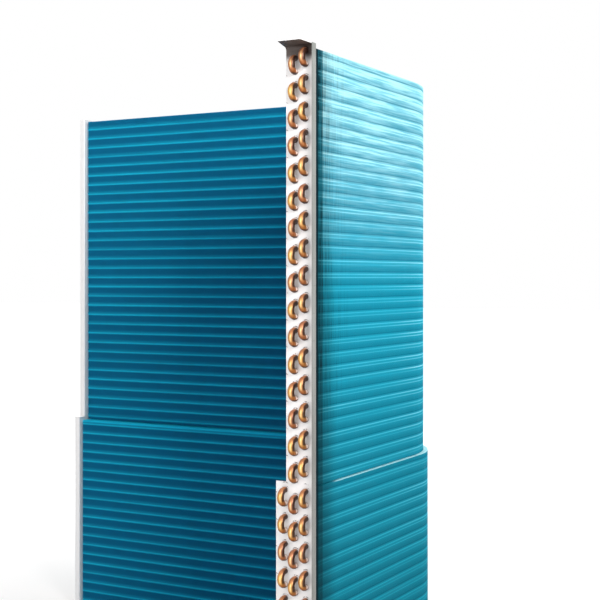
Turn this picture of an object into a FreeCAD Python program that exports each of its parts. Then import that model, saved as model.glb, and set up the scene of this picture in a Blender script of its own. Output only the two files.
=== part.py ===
"""Condenser coil bent to an L: two finned rows on top of three, between two tube sheets.

The coil's own frame has the outer face of the short leg at x = 0, the front face of the
near tube sheet at y = 0 and the resting plane at z = 0. Every piece is then moved so that
the origin lies under the middle of the whole coil.
"""
import FreeCAD, Part
import math
import os

import Sketcher

V = FreeCAD.Vector
doc = FreeCAD.newDocument("condenser_coil")

# Driving dimensions, in millimetres unless the name says a count
DIMENSIONS = [
    ("tube_pitch", 25.4),
    ("row_pitch", 22.0),
    ("row_clearance", 0.5),
    ("tube_od", 9.52),
    ("tube_wall", 0.8),
    ("tube_sides", 6),
    ("upper_tubes", 32),
    ("lower_tubes", 20),
    ("block_gap", 2.0),
    ("fin_foot", 5.0),
    ("groove_depth", 4.5),
    ("groove_width", 3.6),
    ("groove_run_out", 1.0),
    ("short_grooves", 6),
    ("bend_grooves", 5),
    ("long_grooves", 10),
    ("short_reach", 719.0),
    ("long_reach", 1071.0),
    ("upper_bend_radius", 245.0),
    ("lower_bend_radius", 212.0),
    ("sheet_thickness", 1.5),
    ("outer_margin", 11.0),
    ("inner_margin", 9.0),
    ("far_margin", 5.0),
    ("sheet_rise", 5.0),
    ("step_rise", 9.0),
    ("side_flange_depth", 15.0),
    ("side_fold_radius", 2.0),
    ("top_flange_depth", 56.0),
    ("top_flange_front", 50.0),
    ("top_fold_radius", 8.0),
    ("foot_flange_depth", 40.0),
    ("foot_fold_radius", 3.0),
    ("hole_clearance", 0.15),
    ("bend_leg", 8.3),
    ("bend_segments", 3),
    ("open_end_length", 22.0),
]
sheet = doc.addObject("Spreadsheet::Sheet", "dims")
for line, (alias, value) in enumerate(DIMENSIONS, start=1):
    sheet.set(f"A{line}", alias)
    sheet.set(f"B{line}", str(value))
    sheet.setAlias(f"B{line}", alias)
doc.recompute()

# Heights, all from the resting plane
LOWER_TOP = "(dims.fin_foot + dims.lower_tubes * dims.tube_pitch)"
UPPER_BASE = f"({LOWER_TOP} + dims.block_gap)"
UPPER_TOP = f"({UPPER_BASE} + dims.fin_foot + dims.upper_tubes * dims.tube_pitch)"
SHEET_TOP = f"({UPPER_TOP} + dims.sheet_rise)"
STEP_TOP = f"({LOWER_TOP} + dims.step_rise)"
TOP_FOLD = f"({SHEET_TOP} - dims.top_fold_radius - dims.sheet_thickness)"
FOOT_FOLD = "(dims.foot_fold_radius + dims.sheet_thickness)"

# Edges of the near tube sheet, along x
SIDE_FOLD = "(dims.outer_margin - dims.side_fold_radius - dims.sheet_thickness)"
UPPER_EDGE = "(-2 * dims.row_pitch - dims.inner_margin)"
LOWER_EDGE = "(-3 * dims.row_pitch - dims.inner_margin)"

# Edges of the far tube sheet: along y where its side flange starts to fold, and along x
FAR_INNER = "(-dims.long_reach)"
FAR_OUTER = "(-dims.long_reach - dims.sheet_thickness)"
FAR_EDGE = "(dims.short_reach + dims.far_margin)"
FAR_FOLD = "dims.short_reach - dims.inner_margin + dims.side_fold_radius + dims.sheet_thickness"
UPPER_FOLD = f"({FAR_FOLD} - 2 * dims.row_pitch)"
LOWER_FOLD = f"({FAR_FOLD} - 3 * dims.row_pitch)"

# Middle of the whole coil, seen from above
MIDDLE_X = "((dims.outer_margin - dims.long_reach - dims.foot_flange_depth) / 2)"
MIDDLE_Y = f"(({FAR_EDGE} - dims.top_flange_depth) / 2)"


def number(expression):
    """Value that an expression on the sheet has now."""
    return float(sheet.evalExpression(expression))


def new_body(label):
    body = doc.addObject("PartDesign::Body", label)
    body.Label = label
    body.setExpression("Placement.Base.x", f"-{MIDDLE_X}")
    body.setExpression("Placement.Base.y", f"-{MIDDLE_Y}")
    return body


def origin_part(body, role):
    return next(item for item in body.Origin.OriginFeatures if item.Role == role)


def new_sketch(body, name, plane, offset="0"):
    """Sketch on one of the body's own planes, moved along that plane's normal."""
    sketch = body.newObject("Sketcher::SketchObject", name)
    sketch.AttachmentSupport = (origin_part(body, plane), [""])
    sketch.MapMode = "FlatFace"
    sketch.setExpression("AttachmentOffset.Base.z", offset)
    return sketch


def constrain(sketch, kind, places, expression):
    """Add a size to a sketch and tie it to the sheet."""
    size = number(expression)
    index = sketch.addConstraint(Sketcher.Constraint(kind, *places, size))
    sketch.setExpression(f"Constraints[{index}]", expression)


def add_outline(sketch, corners, arcs=None, closed=True):
    """Outline through corners given as expressions; arcs maps an edge to its centre and radius."""
    arcs = arcs or {}
    points = [V(number(a), number(b), 0) for a, b in corners]
    edges = len(points) if closed else len(points) - 1
    ends = []
    for i in range(edges):
        start, end = points[i], points[(i + 1) % len(points)]
        if i not in arcs:
            index = sketch.addGeometry(Part.LineSegment(start, end), False)
            ends.append((index, 1, 2))
            continue
        centre = V(number(arcs[i][0]), number(arcs[i][1]), 0)
        angles = [math.atan2(p.y - centre.y, p.x - centre.x) for p in (start, end)]
        forward = math.sin(angles[1] - angles[0]) > 0
        first, last = angles if forward else angles[::-1]
        if last < first:
            last += 2 * math.pi
        circle = Part.Circle(centre, V(0, 0, 1), number(arcs[i][2]))
        index = sketch.addGeometry(Part.ArcOfCircle(circle, first, last), False)
        ends.append((index, 1, 2) if forward else (index, 2, 1))
        constrain(sketch, "Radius", (index,), arcs[i][2])
    for i, (index, start_point, end_point) in enumerate(ends):
        constrain(sketch, "DistanceX", (-1, 1, index, start_point), corners[i][0])
        constrain(sketch, "DistanceY", (-1, 1, index, start_point), corners[i][1])
        if closed or i < edges - 1:
            follower = ends[(i + 1) % edges]
            joint = Sketcher.Constraint("Coincident", index, end_point, follower[0], follower[1])
            sketch.addConstraint(joint)
    if not closed:
        index, _, end_point = ends[-1]
        constrain(sketch, "DistanceX", (-1, 1, index, end_point), corners[-1][0])
        constrain(sketch, "DistanceY", (-1, 1, index, end_point), corners[-1][1])


def add_section(sketch, centre_a, centre_b, radius):
    """Regular polygon whose corners lie on a tube's round section."""
    sides = int(number("dims.tube_sides"))
    turns = [360 * k / sides for k in range(sides)]
    corners = [
        (f"{centre_a} + {radius} * cos({turn} deg)", f"{centre_b} + {radius} * sin({turn} deg)")
        for turn in turns
    ]
    add_outline(sketch, corners)


def add_fold(sketch, root, lip, radius, depth, swapped=False):
    """Folded lip of the sheet metal, seen along its fold line.

    root is the outer corner where the flat sheet ends. lip has a sign for the way that the
    lip points and one for the way that the flat sheet would go on.
    """
    thick = "dims.sheet_thickness"
    out, on = lip

    def place(away, along):
        pair = (f"{root[0]} + {out} * ({away})", f"{root[1]} + {on} * ({along})")
        return pair[::-1] if swapped else pair

    corners = [
        place("0", "0"),
        place(thick, "0"),
        place(f"{thick} + {radius}", radius),
        place(depth, radius),
        place(depth, f"{radius} + {thick}"),
        place(f"{thick} + {radius}", f"{radius} + {thick}"),
    ]
    centre = place(f"{thick} + {radius}", "0")
    arcs = {1: (*centre, radius), 5: (*centre, f"{radius} + {thick}")}
    add_outline(sketch, corners, arcs)


def pad(body, name, sketch, length, reverse=False):
    feature = body.newObject("PartDesign::Pad", name)
    feature.Profile = sketch
    feature.Reversed = reverse
    feature.setExpression("Length", length)
    return feature


def pocket(body, name, sketch, length):
    feature = body.newObject("PartDesign::Pocket", name)
    feature.Profile = sketch
    feature.setExpression("Length", length)
    return feature


def pattern_up(body, name, feature, count, step):
    """Copies of a feature straight up, one step apart."""
    doc.recompute()
    copies = body.newObject("PartDesign::LinearPattern", name)
    copies.Originals = [feature]
    copies.Direction = (origin_part(body, "Z_Axis"), [""])
    copies.setExpression("Length", f"({count} - 1) * {step}")
    copies.setExpression("Occurrences", count)
    body.Tip = copies
    return copies


class Row:
    """One bent row of tubes: its block, its place from the outside in and its first tube."""

    def __init__(self, block, place, order):
        self.name = f"{block}_{place}"
        self.base, self.top = (UPPER_BASE, UPPER_TOP) if block == "upper" else ("0", LOWER_TOP)
        self.height = f"{self.top} - {self.base}"
        self.tubes = f"dims.{block}_tubes"
        self.radius = f"dims.{block}_bend_radius"
        self.outer = f"({order} * dims.row_pitch + dims.row_clearance / 2)"
        self.inner = f"({order + 1} * dims.row_pitch - dims.row_clearance / 2)"
        self.middle = f"({order} + 0.5) * dims.row_pitch"
        self.grooved = block == "upper"
        # Neighbouring rows are staggered by half a tube pitch
        share = 0.75 if order % 2 == 0 else 0.25
        self.first_tube = f"({self.base} + dims.fin_foot + {share} * dims.tube_pitch)"


ROWS = [
    Row("upper", "outer", 0),
    Row("upper", "inner", 1),
    Row("lower", "outer", 0),
    Row("lower", "middle", 1),
    Row("lower", "inner", 2),
]


def make_fins(row):
    """Fin pack of one row with its tubes expanded into it, bent round a quarter turn."""
    body = new_body(f"{row.name}_fins")
    sketch = new_sketch(body, f"{row.name}_plan", "XY_Plane", row.base)
    turn_x, turn_y = f"-{row.radius}", f"dims.short_reach - {row.radius}"
    back_outer, back_inner = f"dims.short_reach - {row.outer}", f"dims.short_reach - {row.inner}"
    corners = [
        (f"-{row.outer}", "dims.sheet_thickness"),
        (f"-{row.outer}", turn_y),
        (turn_x, back_outer),
        (FAR_INNER, back_outer),
        (FAR_INNER, back_inner),
        (turn_x, back_inner),
        (f"-{row.inner}", turn_y),
        (f"-{row.inner}", "dims.sheet_thickness"),
    ]
    outer_arc = (turn_x, turn_y, f"{row.radius} - {row.outer}")
    inner_arc = (turn_x, turn_y, f"{row.radius} - {row.inner}")
    add_outline(sketch, corners, {1: outer_arc, 5: inner_arc})
    pad(body, f"{row.name}_pack", sketch, row.height)
    if row.grooved:
        cut_grooves(body, row, "outer", f"({row.radius} - {row.outer})", "-")
        cut_grooves(body, row, "inner", f"({row.radius} - {row.inner})", "+")


def cut_grooves(body, row, side, face, inwards):
    """Upright grooves in one side of a fin pack, the widest of its gaps between fins.

    Each sketch lies at the middle of the bend, and face is that side's distance from there.
    """
    turn_y = f"(dims.short_reach - {row.radius})"
    outwards = "+" if inwards == "-" else "-"
    mouth = f"({face} {outwards} dims.groove_run_out)"
    deep = f"({face} {inwards} dims.groove_depth)"
    half = "dims.groove_width / 2"
    steps = {
        "short": f"(({turn_y} - dims.sheet_thickness) / dims.short_grooves)",
        "bend": "(90 deg / dims.bend_grooves)",
        "long": f"((dims.long_reach - {row.radius}) / dims.long_grooves)",
    }
    for leg, step in steps.items():
        name = f"{row.name}_{side}_{leg}"
        sketch = new_sketch(body, f"{name}_groove_plan", "XY_Plane", row.top)
        sketch.setExpression("AttachmentOffset.Base.x", f"-{row.radius}")
        sketch.setExpression("AttachmentOffset.Base.y", turn_y)
        first = f"{step} / 2"
        if leg == "bend":
            cosine, sine = f"cos({first})", f"sin({first})"
            corners = [
                (f"{mouth} * {cosine} + {half} * {sine}", f"{mouth} * {sine} - {half} * {cosine}"),
                (f"{mouth} * {cosine} - {half} * {sine}", f"{mouth} * {sine} + {half} * {cosine}"),
                (f"{deep} * {cosine}", f"{deep} * {sine}"),
            ]
        else:
            corners = [(mouth, f"-{first} - {half}"), (mouth, f"-{first} + {half}"), (deep, f"-{first}")]
        if leg == "long":
            corners = [corner[::-1] for corner in corners]
        add_outline(sketch, corners)
        groove = pocket(body, f"{name}_groove", sketch, row.height)
        doc.recompute()
        kind = "PolarPattern" if leg == "bend" else "LinearPattern"
        copies = body.newObject(f"PartDesign::{kind}", f"{name}_grooves")
        copies.Originals = [groove]
        copies.setExpression("Occurrences", f"dims.{leg}_grooves")
        span = f"{step} * (dims.{leg}_grooves - 1)"
        if leg == "bend":
            copies.Axis = (sketch, ["N_Axis"])
            copies.setExpression("Angle", span)
        else:
            copies.Direction = (origin_part(body, "Y_Axis" if leg == "short" else "X_Axis"), [""])
            copies.Reversed = True
            copies.setExpression("Length", span)
        body.Tip = copies


def bend_path(start, face, level):
    """Centre line of a return bend, from one tube's end out and back into the next.

    face and level are expressions for where the tube leaves and how high; the half turn is
    made of straight pieces that touch its arc.
    """
    pieces = int(number("dims.bend_segments"))
    half = 90 / (pieces + 1)
    reach = f"(dims.tube_pitch / 2 / cos({half} deg))"
    middle = f"{level} + dims.tube_pitch / 2"
    corners = [(start, level)]
    for k in range(pieces + 1):
        turn = f"({(2 * k + 1) * half} deg)"
        away = f"{face} - dims.bend_leg - {reach} * sin{turn}"
        corners.append((away, f"{middle} - {reach} * cos{turn}"))
    corners.append((start, f"{level} + dims.tube_pitch"))
    return corners


def sweep_bend(body, name, section, path):
    pipe = body.newObject("PartDesign::AdditivePipe", name)
    pipe.Profile = section
    edges = [f"Edge{k + 1}" for k in range(path.GeometryCount)]
    pipe.Spine = (path, edges)
    pipe.Transition = "Right corner"
    return pipe


def make_return_bends(row):
    """Bends at the near end: each joins two neighbouring tubes through the tube sheet."""
    body = new_body(f"{row.name}_return_bends")
    across = f"-{row.middle}"
    section = new_sketch(body, f"{row.name}_near_section", "XZ_Plane", "-dims.sheet_thickness")
    add_section(section, across, row.first_tube, "dims.tube_od / 2")
    path = new_sketch(body, f"{row.name}_near_path", "YZ_Plane", across)
    corners = bend_path("dims.sheet_thickness", "0", row.first_tube)
    add_outline(path, corners, closed=False)
    bend = sweep_bend(body, f"{row.name}_near_bend", section, path)
    pattern_up(body, f"{row.name}_near_bends", bend, f"{row.tubes} / 2", "2 * dims.tube_pitch")


def make_far_bends(row):
    """Bends at the far end, one tube further up, so that each row is one long run."""
    body = new_body(f"{row.name}_far_bends")
    along = f"(dims.short_reach - {row.middle})"
    level = f"({row.first_tube} + dims.tube_pitch)"
    section = new_sketch(body, f"{row.name}_far_section", "YZ_Plane", FAR_OUTER)
    add_section(section, along, level, "dims.tube_od / 2")
    path = new_sketch(body, f"{row.name}_far_path", "XZ_Plane", f"-{along}")
    add_outline(path, bend_path(FAR_OUTER, FAR_OUTER, level), closed=False)
    bend = sweep_bend(body, f"{row.name}_far_bend", section, path)
    pattern_up(body, f"{row.name}_far_row", bend, f"{row.tubes} / 2 - 1", "2 * dims.tube_pitch")


def make_open_ends(row):
    """Open ends of a row's run at the far sheet, on its lowest and its highest tube."""
    body = new_body(f"{row.name}_open_ends")
    along = f"(dims.short_reach - {row.middle})"
    section = new_sketch(body, f"{row.name}_end_section", "YZ_Plane", FAR_OUTER)
    add_section(section, along, row.first_tube, "dims.tube_od / 2")
    add_section(section, along, row.first_tube, "(dims.tube_od / 2 - dims.tube_wall)")
    end = pad(body, f"{row.name}_end", section, "dims.open_end_length", reverse=True)
    pattern_up(body, f"{row.name}_ends", end, "2", f"({row.tubes} - 1) * dims.tube_pitch")


def cut_tube_holes(body):
    """One hole for each tube of each row; the cut starts in front of the top fold."""
    for row in ROWS:
        section = new_sketch(body, f"{row.name}_hole_section", "XZ_Plane", "dims.top_fold_radius")
        add_section(section, f"-{row.middle}", row.first_tube, "(dims.tube_od / 2 + dims.hole_clearance)")
        depth = "dims.top_fold_radius + 2 * dims.sheet_thickness"
        hole = pocket(body, f"{row.name}_hole", section, depth)
        pattern_up(body, f"{row.name}_holes", hole, row.tubes, "dims.tube_pitch")


def make_near_sheet():
    """Stepped tube sheet with lips folded outwards at its top, its foot and its outer side."""
    body = new_body("near_tube_sheet")
    plate = new_sketch(body, "near_plate_outline", "XZ_Plane")
    corners = [
        (SIDE_FOLD, FOOT_FOLD),
        (SIDE_FOLD, TOP_FOLD),
        (UPPER_EDGE, TOP_FOLD),
        (UPPER_EDGE, STEP_TOP),
        (LOWER_EDGE, STEP_TOP),
        (LOWER_EDGE, FOOT_FOLD),
    ]
    add_outline(plate, corners)
    pad(body, "near_plate", plate, "dims.sheet_thickness", reverse=True)

    top = new_sketch(body, "near_top_section", "YZ_Plane", UPPER_EDGE)
    depth = "dims.top_flange_depth + dims.sheet_thickness"
    add_fold(top, ("dims.sheet_thickness", TOP_FOLD), (-1, 1), "dims.top_fold_radius", depth)
    pad(body, "near_top_lip", top, f"{SIDE_FOLD} - {UPPER_EDGE}")

    foot = new_sketch(body, "near_foot_section", "YZ_Plane", LOWER_EDGE)
    depth = "dims.foot_flange_depth + dims.sheet_thickness"
    add_fold(foot, ("dims.sheet_thickness", FOOT_FOLD), (-1, -1), "dims.foot_fold_radius", depth)
    pad(body, "near_foot_lip", foot, f"{SIDE_FOLD} - {LOWER_EDGE}")

    side = new_sketch(body, "near_side_section", "XY_Plane")
    depth = "dims.side_flange_depth + dims.sheet_thickness"
    root = ("dims.sheet_thickness", SIDE_FOLD)
    add_fold(side, root, (-1, 1), "dims.side_fold_radius", depth, swapped=True)
    pad(body, "near_side_lip", side, SHEET_TOP)

    taper = new_sketch(body, "near_top_taper", "XY_Plane", SHEET_TOP)
    front_corner = "dims.outer_margin - dims.top_flange_front"
    triangle = [
        (UPPER_EDGE, "-dims.top_fold_radius"),
        (UPPER_EDGE, "-dims.top_flange_depth"),
        (front_corner, "-dims.top_flange_depth"),
    ]
    add_outline(taper, triangle)
    pocket(body, "near_top_corner", taper, "2 * dims.sheet_thickness")
    cut_tube_holes(body)


def make_far_sheet():
    """Plain tube sheet at the far end, with a lip at its inner side and one at its foot."""
    body = new_body("far_tube_sheet")
    plate = new_sketch(body, "far_plate_outline", "YZ_Plane", FAR_OUTER)
    corners = [
        (FAR_EDGE, FOOT_FOLD),
        (FAR_EDGE, SHEET_TOP),
        (UPPER_FOLD, SHEET_TOP),
        (UPPER_FOLD, STEP_TOP),
        (LOWER_FOLD, STEP_TOP),
        (LOWER_FOLD, FOOT_FOLD),
    ]
    add_outline(plate, corners)
    pad(body, "far_plate", plate, "dims.sheet_thickness")

    depth = "dims.side_flange_depth"
    for name, fold, base, height in (
        ("far_upper_lip", UPPER_FOLD, STEP_TOP, f"{SHEET_TOP} - {STEP_TOP}"),
        ("far_lower_lip", LOWER_FOLD, "0", STEP_TOP),
    ):
        lip = new_sketch(body, f"{name}_section", "XY_Plane", base)
        add_fold(lip, (FAR_INNER, fold), (-1, -1), "dims.side_fold_radius", depth)
        pad(body, name, lip, height)

    foot = new_sketch(body, "far_foot_section", "XZ_Plane", f"-{FAR_EDGE}")
    depth = "dims.foot_flange_depth"
    add_fold(foot, (FAR_INNER, FOOT_FOLD), (-1, -1), "dims.foot_fold_radius", depth)
    pad(body, "far_foot_lip", foot, f"{FAR_EDGE} - {LOWER_FOLD}")


for row in ROWS:
    make_fins(row)
    make_return_bends(row)
    make_far_bends(row)
    make_open_ends(row)
make_near_sheet()
make_far_sheet()
doc.recompute()

failed = [item.Name for item in doc.Objects if {"Invalid", "Error"} & set(item.State)]
if failed:
    raise RuntimeError("failed objects: " + ", ".join(failed))

os.makedirs("parts", exist_ok=True)
for body in doc.findObjects("PartDesign::Body"):
    shape = body.Shape
    if shape.isNull() or not shape.isValid():
        raise RuntimeError("bad shape: " + body.Label)
    shape.exportStep(os.path.join("parts", body.Label + ".step"))
    print(body.Label, len(shape.Solids), "solids", round(shape.Volume), "mm3")
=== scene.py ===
"""Condenser coil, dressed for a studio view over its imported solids."""
import math
import random

import bmesh
import bpy
from bpy.props import FloatProperty, FloatVectorProperty, IntProperty, PointerProperty
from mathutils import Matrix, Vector


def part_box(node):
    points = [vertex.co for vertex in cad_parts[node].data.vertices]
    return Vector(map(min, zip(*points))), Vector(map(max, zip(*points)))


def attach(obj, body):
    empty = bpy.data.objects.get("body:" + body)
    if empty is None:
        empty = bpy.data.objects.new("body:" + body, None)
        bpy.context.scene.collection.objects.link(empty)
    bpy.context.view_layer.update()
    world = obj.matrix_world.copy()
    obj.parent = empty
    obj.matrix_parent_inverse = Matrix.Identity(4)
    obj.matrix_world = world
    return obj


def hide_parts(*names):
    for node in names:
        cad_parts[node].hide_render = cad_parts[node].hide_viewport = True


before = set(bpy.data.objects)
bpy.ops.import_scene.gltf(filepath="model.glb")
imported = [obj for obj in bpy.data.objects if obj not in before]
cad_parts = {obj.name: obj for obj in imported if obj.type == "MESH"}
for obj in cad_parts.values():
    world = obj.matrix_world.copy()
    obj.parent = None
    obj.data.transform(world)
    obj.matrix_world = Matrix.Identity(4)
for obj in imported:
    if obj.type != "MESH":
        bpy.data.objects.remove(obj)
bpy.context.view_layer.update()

bl_info = {
    "name": "Condenser coil",
    "version": (1, 0, 0),
    "blender": (4, 5, 0),
    "location": "View3D > Sidebar > Coil",
    "description": "Fins, tubes, bends and finishes of an L-shaped condenser coil",
    "category": "Object",
}

# The camera is level, and is fitted to the rows of tubes, the two legs and the bend.
CAMERA_SPOT = (1.6351, -2.3331, 0.9058)
CAMERA_TURN = math.radians(29.01)
CAMERA_SHIFT = -0.0387
FILM_WIDTH = 36.0

QUARTER_TURN = math.pi / 2
# Handles of a curve that runs round a quarter circle, as a share of its radius.
ARC_HANDLE = 4 / 3 * (math.sqrt(2) - 1)

BLACK = (0.0, 0.0, 0.0)
WHITE = (1.0, 1.0, 1.0)
# The rays that see the surroundings as plain white.
WHITE_RAYS = ("Is Camera Ray", "Is Glossy Ray", "Is Transmission Ray")
# Shader sockets whose names hold more capitals than a title.
SOCKETS = {"specular_ior_level": "Specular IOR Level"}


def amount(name, default, description, **kind):
    return FloatProperty(name=name, default=default, description=description, min=0.0, **kind)


def length(name, default, description):
    return amount(name, default, description, precision=5, subtype="DISTANCE", unit="LENGTH")


def colour(name, default, description):
    return FloatVectorProperty(
        name=name, default=default, description=description, size=3, min=0.0, max=1.0, subtype="COLOR"
    )


class CoilSizes(bpy.types.PropertyGroup):
    tube_pitch: length("Tube pitch", 0.0254, "Height from one tube of a row to the next")
    row_pitch: length("Row pitch", 0.022, "Distance between neighbouring rows")
    row_gap: length("Row gap", 0.0005, "Air between the fins of neighbouring rows")
    upper_radius: length("Upper bend radius", 0.245, "Outer radius of the upper block's bend")
    lower_radius: length("Lower bend radius", 0.212, "Outer radius of the lower block's bend")
    fin_foot: length("Fin foot", 0.005, "Fin below the first tube pitch of each block")
    fin_pitch: length("Fin pitch", 0.0021, "Distance from one fin to the next")
    fin_thickness: length("Fin thickness", 0.00016, "Thickness of a coated fin")
    fin_ripple: length("Fin ripple", 0.0009, "Height of the ripples between a fin's flat edges")
    fin_folds: IntProperty(name="Fin folds", default=8, min=2, description="Strips across a fin's depth")
    tube_radius: length("Tube radius", 0.00476, "Outer radius of a tube")
    tube_wall: length("Tube wall", 0.0006, "Wall of an open tube end")
    collar: length("Collar", 0.0003, "Thickness of the fin collars round a tube")
    bend_leg: length("Bend leg", 0.0042, "Straight part of a return bend in front of its sheet")
    bend_root: amount("Bend root", 1.1, "Thickness of a bend at its sheet, with the tube's as 1")
    bend_shoulder: amount("Bend shoulder", 1.24, "Thickness of a bend where its arc starts")
    bend_nose: amount("Bend nose", 1.44, "Thickness of a bend in the middle of its arc")
    bend_lean: amount("Bend lean", math.radians(2.5), "Most that a bend leans aside", subtype="ANGLE")
    socket_radius: length("Socket radius", 0.0056, "Radius of a tube end widened to take a bend")
    socket_length: length("Socket length", 0.0046, "Length of a widened tube end in front of its sheet")
    socket_edge: length("Socket edge", 0.0004, "Rounded edge of a widened tube end")
    sheet_thickness: length("Sheet thickness", 0.0015, "Thickness of the tube sheets")
    sheet_margin: length("Sheet margin", 0.030, "Fins beside the near sheet that its lip keeps darkest")
    mark_radius: length("Mark radius", 0.0074, "Radius of the punch marks over the bends")


class CoilColours(bpy.types.PropertyGroup):
    fin: colour("Inner fins", (0.009, 0.275, 0.5), "Blue coat inside the bend, between the tube lines")
    # Painted sheen: light lines that stand in for light off the fin ripples by the tubes.
    fin_line: colour("Inner fin lines", (0.025, 0.78, 1.0), "Coat inside the bend, on the tube lines")
    # Painted light and shade on the one blue coat: shaded dips by the tubes and lit crests between them.
    shell_dip_shade: colour("Outer fins", (0.003, 0.225, 0.34), "Coat outside the bend, in the dips by the tubes")
    shell_crest_sheen: colour("Outer fin crests", (0.03, 0.66, 0.86), "Coat outside the bend, between the dips")
    # Painted shadow of the near sheet's lip on the fins beside it.
    lip_shadow: colour("Shaded fins", (0.002, 0.025, 0.035), "Coat outside the bend, close to the sheet")
    # Painted glare: a pale reflection on the upper outer fins.
    pale_glare: colour("Bleached fins", (0.56, 0.95, 1.0), "Pale bloom on the upper outer fins")
    copper: colour("Copper", (0.46, 0.18, 0.09), "Pinkish copper at the roots of the bends")
    copper_tan: colour("Gilded copper", (0.66, 0.34, 0.07), "Heat-tinted noses of the bends")
    # Painted highlight along the noses of the bends.
    copper_bright: colour("Bright copper", (0.95, 0.72, 0.34), "Polished streak along the noses")
    copper_brown: colour("Brown copper", (0.32, 0.1, 0.025), "Noses of the bends heated longer")
    # Painted shade in the crook of the bends, under their lower roots and against the sheet.
    copper_dark: colour("Dark copper", (0.03, 0.011, 0.008), "Soot in the crook of the bends")
    # Solder on the lower sockets, painted bright as a highlight.
    solder_shine: colour("Solder", (0.95, 0.8, 0.72), "Bright solder on the lower roots")
    steel: colour("Sheet steel", (0.84, 0.83, 0.83), "Zinc coat of the tube sheets")
    steel_dull: colour("Dull steel", (0.6, 0.57, 0.54), "Dull streaks in the zinc coat")
    # Painted shade: the lips' outer sides are the same zinc, made darker as if in shade.
    shaded_lip_zinc: colour("Sheet lip", (0.21, 0.22, 0.205), "Weathered zinc on the lips' outer sides")
    # Stain of the punch marks, also used for painted shadow under the top lip and on the lip's foot.
    stain_and_shadow: colour("Stain", (0.05, 0.03, 0.022), "Brown stain under the top lip and punch marks")


class CoilStage(bpy.types.PropertyGroup):
    floor: colour("Floor", (0.86, 0.86, 0.86), "Colour of the floor")
    floor_size: length("Floor size", 60.0, "Length of each side of the floor")
    floor_glow: amount("Floor glow", 0.58, "White that is seen on the floor far from the coil")
    near_glow: amount("Near glow", 0.25, "Share of that white by the coil, where the shadow falls")
    near_reach: length("Near reach", 0.6, "Distance from the middle at which the white begins to rise")
    far_reach: length("Far reach", 2.6, "Distance from the middle at which the white is full")
    key_power: amount("Key power", 66.0, "Power of the main lamp", unit="POWER")
    front_power: amount("Front power", 45.0, "Power of the front lamp", unit="POWER")
    back_power: amount("Back power", 70.0, "Power of the lamp behind", unit="POWER")
    sky: amount("Sky", 0.5, "Strength of the light from all round")
    lens: amount("Lens", 73.59, "Focal length in millimetres", unit="CAMERA")


class Wire:
    """A shader socket that can be used in sums."""

    def __init__(self, finish, socket):
        self.finish = finish
        self.socket = socket

    def maths(self, operation, *values):
        inputs = dict(enumerate(values))
        return self.finish.node("ShaderNodeMath", {"operation": operation}, inputs)

    def __add__(self, other):
        return self.maths("ADD", self, other)

    __radd__ = __add__

    def __sub__(self, other):
        return self.maths("SUBTRACT", self, other)

    def __rsub__(self, other):
        return self.maths("SUBTRACT", other, self)

    def __mul__(self, other):
        return self.maths("MULTIPLY", self, other)

    __rmul__ = __mul__

    def __truediv__(self, other):
        return self.maths("DIVIDE", self, other)

    def __mod__(self, other):
        return self.maths("MODULO", self, other)

    def __abs__(self):
        return self.maths("ABSOLUTE", self)

    def whole(self):
        """The whole number at or below this one."""
        return self.maths("FLOOR", self)

    def part(self):
        """What is left over a whole number, from 0 to 1."""
        return self.maths("FRACT", self)

    def wrapped(self):
        """Distance to the nearest whole number, from -0.5 to 0.5."""
        return (self + 0.5).part() - 0.5

    def distance(self, other):
        """Length of the line whose two legs are this and the other."""
        return self.maths("SQRT", self * self + other * other)

    def at_least(self, low):
        return self.maths("MAXIMUM", self, low)

    def clipped(self):
        return self.maths("MINIMUM", self.at_least(0.0), 1.0)


class Finish:
    """The nodes of a material, or of the world."""

    def __init__(self, owner, shader="Principled BSDF"):
        owner.use_nodes = True
        self.owner = owner
        self.nodes = owner.node_tree.nodes
        self.links = owner.node_tree.links
        self.shader = self.nodes[shader]

    def node(self, kind, settings=None, inputs=None, output=0):
        made = self.nodes.new(kind)
        for name, value in (settings or {}).items():
            setattr(made, name, value)
        for name, value in (inputs or {}).items():
            self.feed(made.inputs[name], value)
        return Wire(self, made.outputs[output])

    def feed(self, socket, value):
        if isinstance(value, Wire):
            self.links.new(value.socket, socket)
        elif socket.type == "RGBA":
            socket.default_value = (*value, 1.0)
        else:
            socket.default_value = value

    def set(self, **inputs):
        for name, value in inputs.items():
            self.feed(self.shader.inputs[SOCKETS.get(name, name.replace("_", " ").title())], value)

    def point(self):
        """A point on the object."""
        return self.node("ShaderNodeTexCoord", output="Object")

    def place(self):
        """The x, y and z of a point on the object."""
        split = {"Vector": self.point()}
        return [self.node("ShaderNodeSeparateXYZ", inputs=split, output=axis) for axis in "XYZ"]

    def seen(self):
        """1 for the rays that see plain white, and 0 for those that light the object."""
        camera, glossy, clear = (self.node("ShaderNodeLightPath", output=ray) for ray in WHITE_RAYS)
        return (camera + glossy + clear).clipped()

    def vector(self, x, y, z):
        return self.node("ShaderNodeCombineXYZ", inputs={"X": x, "Y": y, "Z": z})

    def noise(self, vector, scale, detail=2.0):
        inputs = {"Vector": vector, "Scale": scale, "Detail": detail}
        return self.node("ShaderNodeTexNoise", inputs=inputs)

    def streaks(self, place, waves, detail=2.0):
        """Noise with its own number of waves per metre along each axis."""
        spot = self.vector(*(axis * count for axis, count in zip(place, waves)))
        return self.noise(spot, 1.0, detail)

    def step(self, value, low, high):
        """Smooth rise from 0 at low to 1 at high."""
        settings = {"interpolation_type": "SMOOTHSTEP"}
        inputs = {"Value": value, "From Min": low, "From Max": high}
        return self.node("ShaderNodeMapRange", settings, inputs)

    def ridge(self, value, middle, width):
        """Smooth rise from 0 to 1 at the middle and back, as wide to either side."""
        return self.step(abs(value - middle), width, 0.0)

    def mix(self, factor, first, second):
        return self.node("ShaderNodeMix", {"data_type": "RGBA"}, {0: factor, 6: first, 7: second}, 2)


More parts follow.
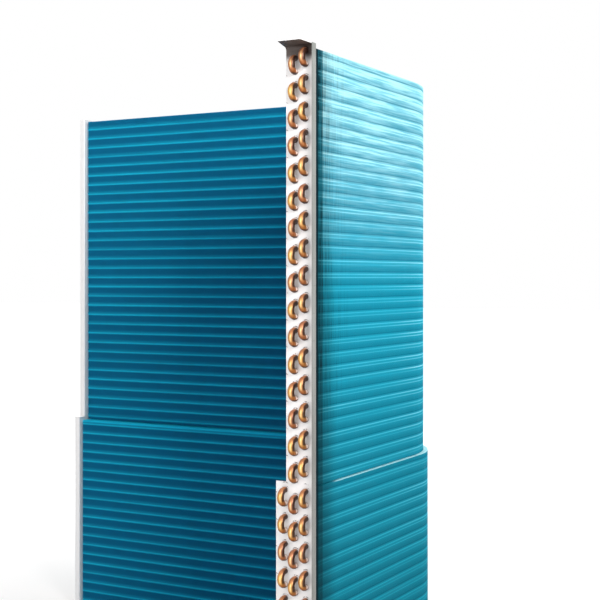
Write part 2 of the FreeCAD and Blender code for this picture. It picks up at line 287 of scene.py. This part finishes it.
class CoilRow:
    """Where one bent row of tubes runs, read from its packed fins."""

    def __init__(self, sizes, name, order):
        self.name = name
        self.upper = name.startswith("upper")
        self.outermost = order == 0
        low, high = (Vector(corner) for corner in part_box(f"{name}_fins"))
        self.base, self.top = low.z, high.z
        self.depth = sizes.row_pitch - sizes.row_gap
        self.middle_x = high.x - self.depth / 2
        self.middle_y = high.y - self.depth / 2
        self.near_y, self.far_x = low.y, low.x
        outer = sizes.upper_radius if self.upper else sizes.lower_radius
        self.radius = outer - (order + 0.5) * sizes.row_pitch
        self.turn_x = self.middle_x - self.radius
        self.turn_y = self.middle_y - self.radius
        straights = self.turn_y - self.near_y + self.turn_x - self.far_x
        self.run = straights + self.radius * QUARTER_TURN
        foot = self.base + sizes.fin_foot
        self.pitch = sizes.tube_pitch
        # Every other row stands half a pitch lower.
        share = 0.75 if order % 2 == 0 else 0.25
        self.first_tube = foot + share * self.pitch
        self.tubes = round((self.top - foot) / self.pitch)

    def first_bend(self, end):
        """Level of the lowest bend's lower tube: the far bends start one tube higher."""
        return self.first_tube + self.pitch if end == "far" else self.first_tube

    def bends(self, end):
        """Number of bends: the far ones leave the first and the last tube open."""
        return self.tubes // 2 - 1 if end == "far" else self.tubes // 2


def coil_rows():
    sizes = bpy.context.scene.coil_sizes
    names = {"upper": ("outer", "inner"), "lower": ("outer", "middle", "inner")}
    return [
        CoilRow(sizes, f"{block}_{place}", order)
        for block, places in names.items()
        for order, place in enumerate(places)
    ]


def pick(*objects):
    """Select these objects and nothing else, the first one active."""
    bpy.ops.object.select_all(action="DESELECT")
    for item in objects:
        item.select_set(True)
    bpy.context.view_layer.objects.active = objects[0]


def added(name):
    """The object that an operator has just added, under its own name."""
    item = bpy.context.object
    item.name = name
    item.data.name = name
    return item


def settle(item):
    """Move an object's place, turn and scale into its mesh."""
    pick(item)
    bpy.ops.object.transform_apply(location=True, rotation=True, scale=True)


def apply_modifier(item, kind, **settings):
    modifier = item.modifiers.new(kind.title(), kind)
    for name, value in settings.items():
        setattr(modifier, name, value)
    pick(item)
    bpy.ops.object.modifier_apply(modifier=modifier.name)


def repeat(item, count, offset):
    """Repeat a mesh within its object, each copy moved on by the offset."""
    apply_modifier(
        item,
        "ARRAY",
        count=count,
        use_relative_offset=False,
        use_constant_offset=True,
        constant_offset_displace=offset,
    )


def join(name, *objects):
    pick(*objects)
    bpy.ops.object.join()
    objects[0].name = name
    objects[0].data.name = name
    return objects[0]


def start_edit(action):
    """Enter edit mode with everything or nothing selected."""
    bpy.ops.object.mode_set(mode="EDIT")
    bpy.ops.mesh.select_all(action=action)


def extrude(step):
    bpy.ops.mesh.extrude_region_move(TRANSFORM_OT_translate={"value": step})


def end_shape():
    """Turn all faces outwards and leave edit mode."""
    bpy.ops.mesh.select_all(action="SELECT")
    bpy.ops.mesh.normals_make_consistent(inside=False)
    bpy.ops.object.mode_set(mode="OBJECT")


def finish_piece(piece, finish, node, smooth=30):
    """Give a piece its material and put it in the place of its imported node."""
    pick(piece)
    if smooth:
        bpy.ops.object.shade_smooth_by_angle(angle=math.radians(smooth))
    piece.data.materials.clear()
    piece.data.materials.append(finish)
    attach(piece, "root")
    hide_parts(node)


def add_path(name, points, steps):
    """Curve through points, each with its arriving and leaving handle and its share of the thickness."""
    bpy.ops.object.select_all(action="DESELECT")
    bpy.ops.curve.primitive_bezier_curve_add()
    path = added(name)
    spline = path.data.splines[0]
    spline.bezier_points.add(len(points) - len(spline.bezier_points))
    for knot, (spot, before, after, thickness) in zip(spline.bezier_points, points):
        knot.handle_left_type = knot.handle_right_type = "FREE"
        knot.co, knot.handle_left, knot.handle_right = spot, before, after
        knot.radius = thickness
    path.data.resolution_u = steps
    return path


def run_path(row):
    """Plan line of a row: along the short leg, round the bend and along the long leg."""
    handle = row.radius * ARC_HANDLE
    near = Vector((row.middle_x, row.near_y, 0))
    into = Vector((row.middle_x, row.turn_y, 0))
    out = Vector((row.turn_x, row.middle_y, 0))
    far = Vector((row.far_x, row.middle_y, 0))
    along_y, along_x = Vector((0, 1, 0)), Vector((-1, 0, 0))
    # The handles past both ends bend nothing.
    tail = 0.01
    points = [
        (near, near - along_y * tail, near.lerp(into, 1 / 3), 1.0),
        (into, near.lerp(into, 2 / 3), into + along_y * handle, 1.0),
        (out, out - along_x * handle, out.lerp(far, 1 / 3), 1.0),
        (far, out.lerp(far, 2 / 3), far + along_x * tail, 1.0),
    ]
    path = add_path(f"{row.name}_run", points, steps=24)
    path.data.dimensions = "2D"
    path.data.fill_mode = "NONE"
    return path


def make_fin(sizes, row):
    """One fin, folded into its ripple, at the start of the run."""
    bpy.ops.object.select_all(action="DESELECT")
    across_run = (QUARTER_TURN, 0, QUARTER_TURN)
    bpy.ops.mesh.primitive_grid_add(
        x_subdivisions=sizes.fin_folds, y_subdivisions=1, size=1, rotation=across_run
    )
    fin = added(f"{row.name}_fin")
    fin.scale = (row.depth, row.top - row.base, 1)
    fin.location = (sizes.fin_pitch, 0, (row.top + row.base) / 2)
    settle(fin)
    start_edit("DESELECT")
    bpy.ops.mesh.select_mode(type="VERT")
    shape = bmesh.from_edit_mesh(fin.data)
    for corner in shape.verts:
        fold = round((corner.co.y / row.depth + 0.5) * sizes.fin_folds)
        corner.select = fold % 2 == 0 and 0 < fold < sizes.fin_folds
    shape.select_flush_mode()
    bmesh.update_edit_mesh(fin.data)
    bpy.ops.transform.translate(value=(sizes.fin_ripple, 0, 0))
    bpy.ops.object.mode_set(mode="OBJECT")
    apply_modifier(fin, "SOLIDIFY", thickness=sizes.fin_thickness, offset=0)
    return fin


def make_fin_pack(sizes, row, finish):
    """A row's fins, bent round with their run, and the collared tubes that hold them."""
    pack = make_fin(sizes, row)
    count = int((row.run - 2 * sizes.fin_pitch) / sizes.fin_pitch)
    repeat(pack, count, (sizes.fin_pitch, 0, 0))
    path = run_path(row)
    apply_modifier(pack, "CURVE", object=path, deform_axis="POS_X")

    path.data.dimensions = "3D"
    path.data.resolution_u = 10
    path.data.bevel_depth = sizes.tube_radius + sizes.collar
    path.data.bevel_resolution = 1
    path.data.use_fill_caps = True
    path.location.z = row.first_tube
    pick(path)
    bpy.ops.object.convert(target="MESH")
    settle(path)
    repeat(path, row.tubes, (0, 0, sizes.tube_pitch))
    pack = join(f"{row.name}_fin_pack", pack, path)
    finish_piece(pack, finish, f"{row.name}_fins", smooth=0)


def make_socket(sizes):
    """Widened tube end that takes a bend, standing on the origin along -Y."""
    bpy.ops.object.select_all(action="DESELECT")
    bpy.ops.mesh.primitive_circle_add(
        vertices=14, radius=sizes.socket_radius, fill_type="NGON", rotation=(QUARTER_TURN, 0, 0)
    )
    socket = added("socket")
    settle(socket)
    start_edit("SELECT")
    steps_and_widths = (
        (sizes.socket_length * 0.8, 1.0),
        (sizes.socket_length * 0.2, 1.07),
        (sizes.socket_edge, 0.985),
        (0.0, 0.88),
    )
    for step, width in steps_and_widths:
        extrude((0, -step, 0))
        bpy.ops.transform.resize(value=(width, 1, width))
    end_shape()
    return socket


def make_bend(sizes, name):
    """Round hairpin from the origin out along -Y and back, one pitch higher, with its sockets."""
    rise = sizes.tube_pitch
    radius = rise / 2
    handle = radius * ARC_HANDLE
    leg = sizes.bend_leg
    tail = 0.001

    def spot(out, up):
        return Vector((0, -out, up))

    nose = spot(leg + radius, radius)
    points = [
        (spot(0, 0), spot(-tail, 0), spot(leg / 3, 0), sizes.bend_root),
        (spot(leg, 0), spot(leg * 2 / 3, 0), spot(leg + handle, 0), sizes.bend_shoulder),
        (nose, nose - spot(0, handle), nose + spot(0, handle), sizes.bend_nose),
        (spot(leg, rise), spot(leg + handle, rise), spot(leg * 2 / 3, rise), sizes.bend_shoulder),
        (spot(0, rise), spot(leg / 3, rise), spot(-tail, rise), sizes.bend_root),
    ]
    path = add_path(name, points, steps=5)
    path.data.dimensions = "3D"
    path.data.twist_mode = "MINIMUM"
    path.data.bevel_depth = sizes.tube_radius
    path.data.bevel_resolution = 2
    path.data.use_fill_caps = True
    bpy.ops.object.convert(target="MESH")
    first = make_socket(sizes)
    second = make_socket(sizes)
    second.location.z = rise
    settle(second)
    return join(name, path, first, second)


def make_bends(sizes, row, end, finish):
    """All bends of a row at one of its ends, each leaning a little its own way."""
    name = f"{row.name}_{end}_hairpins"
    pattern = make_bend(sizes, name)
    chance = random.Random(name)
    bends = []
    for number in range(row.bends(end)):
        pick(pattern)
        bpy.ops.object.duplicate()
        bend = added(f"{name}_{number}")
        level = row.first_bend(end) + 2 * number * sizes.tube_pitch
        lean = chance.uniform(-sizes.bend_lean, sizes.bend_lean)
        if end == "far":
            bend.rotation_euler.z = lean - QUARTER_TURN
            bend.location = (row.far_x - sizes.sheet_thickness, row.middle_y, level)
        else:
            bend.rotation_euler.z = lean
            bend.location = (row.middle_x, row.near_y - sizes.sheet_thickness, level)
        settle(bend)
        bends.append(bend)
    pick(pattern)
    bpy.ops.object.delete()
    finish_piece(join(name, *bends), finish, f"{row.name}_{end}_bends", smooth=50)


def make_open_ends(sizes, row, finish):
    """The first and last tube's open ends, each a pipe with a rolled rim."""
    node = f"{row.name}_open_ends"
    low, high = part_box(node)
    bpy.ops.object.select_all(action="DESELECT")
    bpy.ops.mesh.primitive_circle_add(
        vertices=16, radius=sizes.tube_radius - sizes.tube_wall / 2, rotation=(0, QUARTER_TURN, 0)
    )
    ends = added(f"{row.name}_pipe_ends")
    ends.location = (high[0], row.middle_y, row.first_tube)
    settle(ends)
    start_edit("SELECT")
    for share in (0.9, 0.1):
        extrude(((low[0] - high[0]) * share, 0, 0))
    end_shape()
    apply_modifier(ends, "SOLIDIFY", thickness=sizes.tube_wall, offset=0)
    apply_modifier(ends, "BEVEL", width=sizes.tube_wall / 4, segments=2, limit_method="ANGLE")
    repeat(ends, 2, (0, 0, (row.tubes - 1) * sizes.tube_pitch))
    finish_piece(ends, finish, node, smooth=40)


def fin_finish(colours, sizes, row):
    """Blue coat with painted sheen lines level with each tube, and streaks along the run."""
    finish = Finish(bpy.data.materials.new(f"{row.name}_coat"))
    place = finish.place()
    z = place[2]
    streak = finish.streaks(place, (1.2, 1.2, 90.0))
    uneven = finish.streaks(place, (60.0, 60.0, 1.5))
    level = (row.first_tube - z) / sizes.tube_pitch - 0.12
    if row.outermost:
        tint = shell_tint(finish, colours, sizes, row, place, level.part(), streak)
    else:
        # Painted sheen lines level with each tube.
        above = 0.0 - level.wrapped()
        line = finish.step(above, 0.42, 0.1) * 0.4 + finish.step(above, 0.12, 0.0) * 0.6
        line = (line * finish.step(above, -0.16, -0.02) * (0.5 + streak)).clipped()
        # Painted highlight along the lit top of the lower block.
        if not row.upper:
            line = line + finish.step(z, row.top - 0.0065, row.top - 0.003) * 0.9
        tint = finish.mix(line.clipped(), colours.fin, colours.fin_line)
    shade = finish.mix(uneven * 0.054, tint, BLACK)
    finish.set(base_color=shade, roughness=0.4 + streak * 0.12, specular_ior_level=0.18)
    return finish.owner


def shell_tint(finish, colours, sizes, row, place, below, streak):
    """Outer side in painted light: highlight lines under shaded dips, top glare and a shadow by the near
    sheet.

    The lines glint towards the bend, painted shade darkens the coat downwards, and short upright
    streaks lie between the lines beside the sheet.
    """
    x, y, z = place
    # Painted light and shade of the fin ripples: dark dips, lit crests and double highlight lines.
    crest = finish.step(below, 0.02, 0.16) * (1.0 - finish.step(below, 0.35, 1.0) * 0.6)
    own = (streak * 2.6 - 0.85).clipped()
    double = finish.ridge(below, 0.25, 0.07) + finish.ridge(below, 0.5, 0.055) * 0.7
    lines = (crest * 0.46 + double * (0.25 + own) * 0.75).clipped()
    tint = finish.mix(lines, colours.shell_dip_shade, colours.shell_crest_sheen)
    # Painted shade, darker towards the bottom.
    lower_shade = finish.step(z, 1.0, 0.15)
    tint = finish.mix(lower_shade * 0.306, tint, BLACK)

    # Painted glint along the highlight lines, stronger towards the bend.
    by_bend = finish.step(y, 0.0, 0.17)
    glint = double * own * (0.25 + by_bend * 0.6) * finish.step(z, 0.25, 0.8)
    tint = finish.mix(glint.clipped(), tint, colours.pale_glare)

    clear = y - (row.near_y + sizes.sheet_margin)
    # Painted glare on the upper fins, patchy and grained, weaker beside the near sheet.
    patch = finish.streaks(place, (3.0, 3.0, 14.0))
    grain = finish.step(finish.streaks(place, (9.0, 9.0, 260.0), detail=3.0), 0.36, 0.64)
    high_up = finish.step(z, 0.86, 1.34)
    glare = high_up * (0.22 + lines * 1.2) * (0.4 + patch) * (0.62 + grain * 0.8)
    glare = glare * (0.15 + finish.step(clear, 0.01, 0.02) * 0.85)
    tint = finish.mix(glare.clipped(), tint, colours.pale_glare)
    # Painted highlight on the lit top edge.
    top_edge_highlight = finish.step(z, row.top - 0.0022, row.top - 0.001) * finish.step(y, -0.25, -0.22)
    tint = finish.mix(top_edge_highlight * 0.9, tint, colours.pale_glare)

    # Painted shadow beside the near sheet's lip, streaked and deeper low down; lit is 1 where none is
    # painted.
    comb = finish.step(finish.streaks(place, (0.0, 210.0, 9.0), detail=1.0), 0.48, 0.6)
    comb = comb * finish.step(clear, 0.16, 0.02) * finish.step(z, 0.5, 0.8) * (1.0 - lines)
    lit = 0.03 + finish.step(clear, -0.003, 0.0) * 0.32 + finish.step(clear, 0.014, 0.018) * 0.42
    lit = lit + finish.step(clear, 0.02, 0.07) * 0.23 - comb * 0.35
    lit = lit * (1.0 - finish.step(z, 1.1, 0.8) * finish.step(clear, 0.09, 0.01) * 0.35)
    return finish.mix(lit.clipped(), colours.lip_shadow, tint)


def copper_finish(colours, sizes, row, end):
    """Satin copper: gilt noses, pink upper roots, painted highlights and painted shade in the crooks."""
    finish = Finish(bpy.data.materials.new(f"{row.name}_{end}_copper"))
    x, y, z = finish.place()
    if end == "far":
        out = row.far_x - sizes.sheet_thickness - x
        side = y - row.middle_y
    else:
        out = row.near_y - sizes.sheet_thickness - y
        side = x - row.middle_x
    span = 2 * sizes.tube_pitch
    radius = sizes.tube_pitch / 2
    bends = (z - row.first_bend(end)) / span + 0.25
    up = (bends.part() - 0.5) * span
    reach = (out - sizes.bend_leg).at_least(0.0).distance(up)

    number = finish.vector(bends.whole(), row.middle_x * 100.0, 0.0)
    own = finish.node("ShaderNodeTexWhiteNoise", {"noise_dimensions": "2D"}, {"Vector": number})
    patch = finish.noise(finish.point(), 160.0)
    fine = finish.noise(finish.point(), 900.0, detail=3.0)
    heated = (own * 0.8 + patch * 0.9 - 0.45).clipped()
    nose = finish.mix(heated, colours.copper_tan, colours.copper_brown)
    nose = finish.mix(finish.step(own, 0.55, 0.9) * 0.6, nose, colours.copper)
    upper_root = finish.step(up, radius * 0.35, radius * 1.05)
    tint = finish.mix(upper_root * 0.8, nose, colours.copper)
    lower_root = finish.step(up, radius * -0.3, radius * -0.95)
    tint = finish.mix(lower_root * 0.75, tint, colours.copper_brown)

    # Distance across the tube, towards the crook and the coil's outer side.
    inner = side * 0.88 + (radius - reach) * 0.47
    # Painted highlight along the nose.
    nose_highlight = finish.ridge(inner, -0.0016, 0.0026) * finish.step(abs(up), radius * 0.9, radius * 0.2)
    tint = finish.mix(nose_highlight * (0.3 + patch) * 0.75, tint, colours.copper_bright)
    # Painted shade in the crook, under the lower root and against the sheet.
    crook = finish.step(inner, -0.0002, 0.0029) * finish.step(up, radius * -0.85, radius * -0.45)
    under = finish.step(up, -radius - 0.0008, -radius - 0.0042)
    rim = finish.step(out, 0.0014, 0.0006) * 0.8
    tint = finish.mix((crook + under + rim).clipped() * 0.95, tint, colours.copper_dark)
    # Painted highlight on the solder of the lower socket.
    drop = (up + (radius - 0.0022)).distance(out - sizes.socket_length)
    tint = finish.mix(finish.step(drop, 0.0052, 0.0026), tint, colours.solder_shine)
    finish.set(base_color=tint, metallic=0.5, roughness=0.3 + fine * 0.14)
    return finish.owner


def plain_copper(colours, row):
    """Clean drawn copper of the open ends."""
    finish = Finish(bpy.data.materials.new(f"{row.name}_drawn_copper"))
    patch = finish.noise(finish.point(), 90.0)
    tint = finish.mix(finish.step(patch, 0.4, 0.65), colours.copper, colours.copper_tan)
    finish.set(base_color=tint, metallic=0.6, roughness=0.3 + patch * 0.15)
    return finish.owner


def steel_finish(colours, sizes):
    """Zinc coat with painted shade under and beside the near sheet's lips, and punch marks over its bends.
    """
    finish = Finish(bpy.data.materials.new("zinc_sheet"))
    place = finish.place()
    x, y, z = place
    rows = {row.name: row for row in coil_rows()}
    upper, lower = rows["upper_outer"], rows["lower_outer"]
    spangle = finish.noise(finish.point(), 70.0, detail=3.0)
    streak = finish.streaks(place, (40.0, 40.0, 4.0), detail=3.0)
    dull = finish.step(streak, 0.55, 0.8) * 0.2 + finish.step(spangle, 0.5, 0.8) * 0.1
    tint = finish.mix(dull, colours.steel, colours.steel_dull)

    near = finish.step(y, upper.near_y + 0.001, upper.near_y)
    rank = (upper.middle_x - x) / sizes.row_pitch + 0.5
    across = (rank.part() - 0.5) * sizes.row_pitch
    in_upper = finish.step(z, lower.top, lower.top + 0.0001)
    first = lower.first_tube + in_upper * (upper.first_tube - lower.first_tube)
    span = 2 * sizes.tube_pitch
    bends = (z - first) / span + 0.25 * (rank.whole() % 2.0)
    over = (bends - 0.5).wrapped() * span
    ring = finish.ridge(across.distance(over), sizes.mark_radius, 0.0015)
    ring = ring * finish.step(over, 0.004, 0.0065)
    broken = finish.step(finish.noise(finish.point(), 300.0), 0.42, 0.52)
    tint = finish.mix(ring * broken * near * 0.95, tint, colours.stain_and_shadow)

    outer_x, _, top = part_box("near_tube_sheet")[1]
    # Painted shadow of the top lip on the face below it.
    under = finish.step(z, top - 0.034, top - 0.016) * near * finish.step(z, top - 0.0006, top - 0.0012)
    tint = finish.mix(under * 0.97, tint, colours.stain_and_shadow)
    # Painted shade on the near lip's outer side, darker and browner towards the bottom.
    lip = finish.step(x, outer_x - 0.0035, outer_x - 0.0022) * near
    lip_shade = finish.mix(finish.step(z, 1.25, 0.5) * 0.35, colours.shaded_lip_zinc, colours.stain_and_shadow)
    tint = finish.mix(lip * (0.8 + streak * 0.3), tint, lip_shade)
    finish.set(base_color=tint, metallic=0.1, roughness=0.42 + spangle * 0.16)
    return finish.owner


def floor_finish(stage):
    """Pale floor that is seen as white, less so by the coil, where it keeps the shadow."""
    finish = Finish(bpy.data.materials.new("studio_floor"))
    x, y, z = finish.place()
    away = finish.step(x.distance(y), stage.near_reach, stage.far_reach)
    clear = stage.near_glow + away * (1.0 - stage.near_glow)
    grain = finish.noise(finish.point(), 6.0)
    finish.set(base_color=finish.mix(grain * 0.05, stage.floor, (0.8, 0.8, 0.8)), roughness=0.8)
    finish.set(emission_color=finish.mix(finish.seen() * clear, BLACK, WHITE))
    finish.set(emission_strength=stage.floor_glow)
    return finish.owner


class COIL_OT_fin_packs(bpy.types.Operator):
    """Press the rippled fins on the tubes of each row and bend them round"""

    bl_idname = "coil.fin_packs"
    bl_label = "Fin packs"

    def execute(self, context):
        sizes, colours = context.scene.coil_sizes, context.scene.coil_colours
        for row in coil_rows():
            make_fin_pack(sizes, row, fin_finish(colours, sizes, row))
        return {"FINISHED"}


class COIL_OT_bends(bpy.types.Operator):
    """Solder the hairpin bends into both ends and leave the run's open ends"""

    bl_idname = "coil.bends"
    bl_label = "Bends and open ends"

    def execute(self, context):
        sizes, colours = context.scene.coil_sizes, context.scene.coil_colours
        for row in coil_rows():
            for end in ("return", "far"):
                make_bends(sizes, row, end, copper_finish(colours, sizes, row, end))
            make_open_ends(sizes, row, plain_copper(colours, row))
        return {"FINISHED"}


class COIL_OT_tube_sheets(bpy.types.Operator):
    """Give the folded tube sheets their zinc coat"""

    bl_idname = "coil.tube_sheets"
    bl_label = "Tube sheets"

    def execute(self, context):
        steel = steel_finish(context.scene.coil_colours, context.scene.coil_sizes)
        for name in ("near_tube_sheet", "far_tube_sheet"):
            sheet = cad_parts[name]
            for slot in sheet.material_slots:
                slot.material = steel
        return {"FINISHED"}


class COIL_OT_stage(bpy.types.Operator):
    """Set the floor, the lamps, the white surroundings and the camera"""

    bl_idname = "coil.stage"
    bl_label = "Stage"

    def execute(self, context):
        stage = context.scene.coil_stage
        bpy.ops.object.select_all(action="DESELECT")
        bpy.ops.mesh.primitive_plane_add(size=stage.floor_size, location=(0, 0, 0))
        floor = added("floor")
        floor.data.materials.append(floor_finish(stage))

        near_top, above_middle, middle = (0.52, -0.1, 1.15), (0.2, 0.0, 0.8), (0.0, 0.2, 0.7)
        self.add_lamp("key", stage.key_power, 1.3, near_top, azimuth=57, elevation=18, distance=2.2)
        self.add_lamp("back", stage.back_power, 2.0, middle, azimuth=205, elevation=30, distance=4.0)
        self.add_lamp("front", stage.front_power, 2.0, above_middle, azimuth=2, elevation=12, distance=4.0)
        self.surround(context.scene, stage)

        bpy.ops.object.camera_add(location=CAMERA_SPOT, rotation=(QUARTER_TURN, 0, CAMERA_TURN))
        camera = bpy.context.object
        camera.data.lens = stage.lens
        camera.data.sensor_width = FILM_WIDTH
        camera.data.shift_y = CAMERA_SHIFT
        context.scene.camera = camera
        context.scene.view_settings.view_transform = "Standard"
        return {"FINISHED"}

    def add_lamp(self, name, power, size, target, azimuth, elevation, distance):
        """Square lamp facing its target, its azimuth counted from -Y towards +X, in degrees."""
        side, rise = math.radians(azimuth), math.radians(elevation)
        flat = math.cos(rise)
        away = Vector((math.sin(side) * flat, -math.cos(side) * flat, math.sin(rise)))
        turn = away.to_track_quat("Z", "Y").to_euler()
        bpy.ops.object.light_add(type="AREA", location=Vector(target) + away * distance, rotation=turn)
        lamp = bpy.context.object
        lamp.name = name
        lamp.data.shape = "SQUARE"
        lamp.data.size = size
        lamp.data.energy = power

    def surround(self, scene, stage):
        """White where the camera looks past the coil, and a softer light from all round."""
        scene.world = bpy.data.worlds.new("surround")
        sky = Finish(scene.world, shader="Background")
        sky.set(color=WHITE, strength=stage.sky + sky.seen() * (1.0 - stage.sky))


class COIL_PT_panel(bpy.types.Panel):
    """Sizes, colours and steps of the coil"""

    bl_idname = "COIL_PT_panel"
    bl_label = "Condenser coil"
    bl_space_type = "VIEW_3D"
    bl_region_type = "UI"
    bl_category = "Coil"

    def draw(self, context):
        for group in (context.scene.coil_sizes, context.scene.coil_colours, context.scene.coil_stage):
            for name in group.__annotations__:
                self.layout.prop(group, name)
        for step in STEPS:
            self.layout.operator(step.bl_idname)


STEPS = (COIL_OT_fin_packs, COIL_OT_bends, COIL_OT_tube_sheets, COIL_OT_stage)
GROUPS = {"coil_sizes": CoilSizes, "coil_colours": CoilColours, "coil_stage": CoilStage}


def register():
    for item in (*GROUPS.values(), *STEPS, COIL_PT_panel):
        bpy.utils.register_class(item)
    for name, group in GROUPS.items():
        setattr(bpy.types.Scene, name, PointerProperty(type=group))


def unregister():
    for name in GROUPS:
        delattr(bpy.types.Scene, name)
    for item in (COIL_PT_panel, *STEPS, *GROUPS.values()):
        bpy.utils.unregister_class(item)


def main():
    register()
    bpy.ops.coil.fin_packs()
    bpy.ops.coil.bends()
    bpy.ops.coil.tube_sheets()
    bpy.ops.coil.stage()


if __name__ == "__main__":
    main()
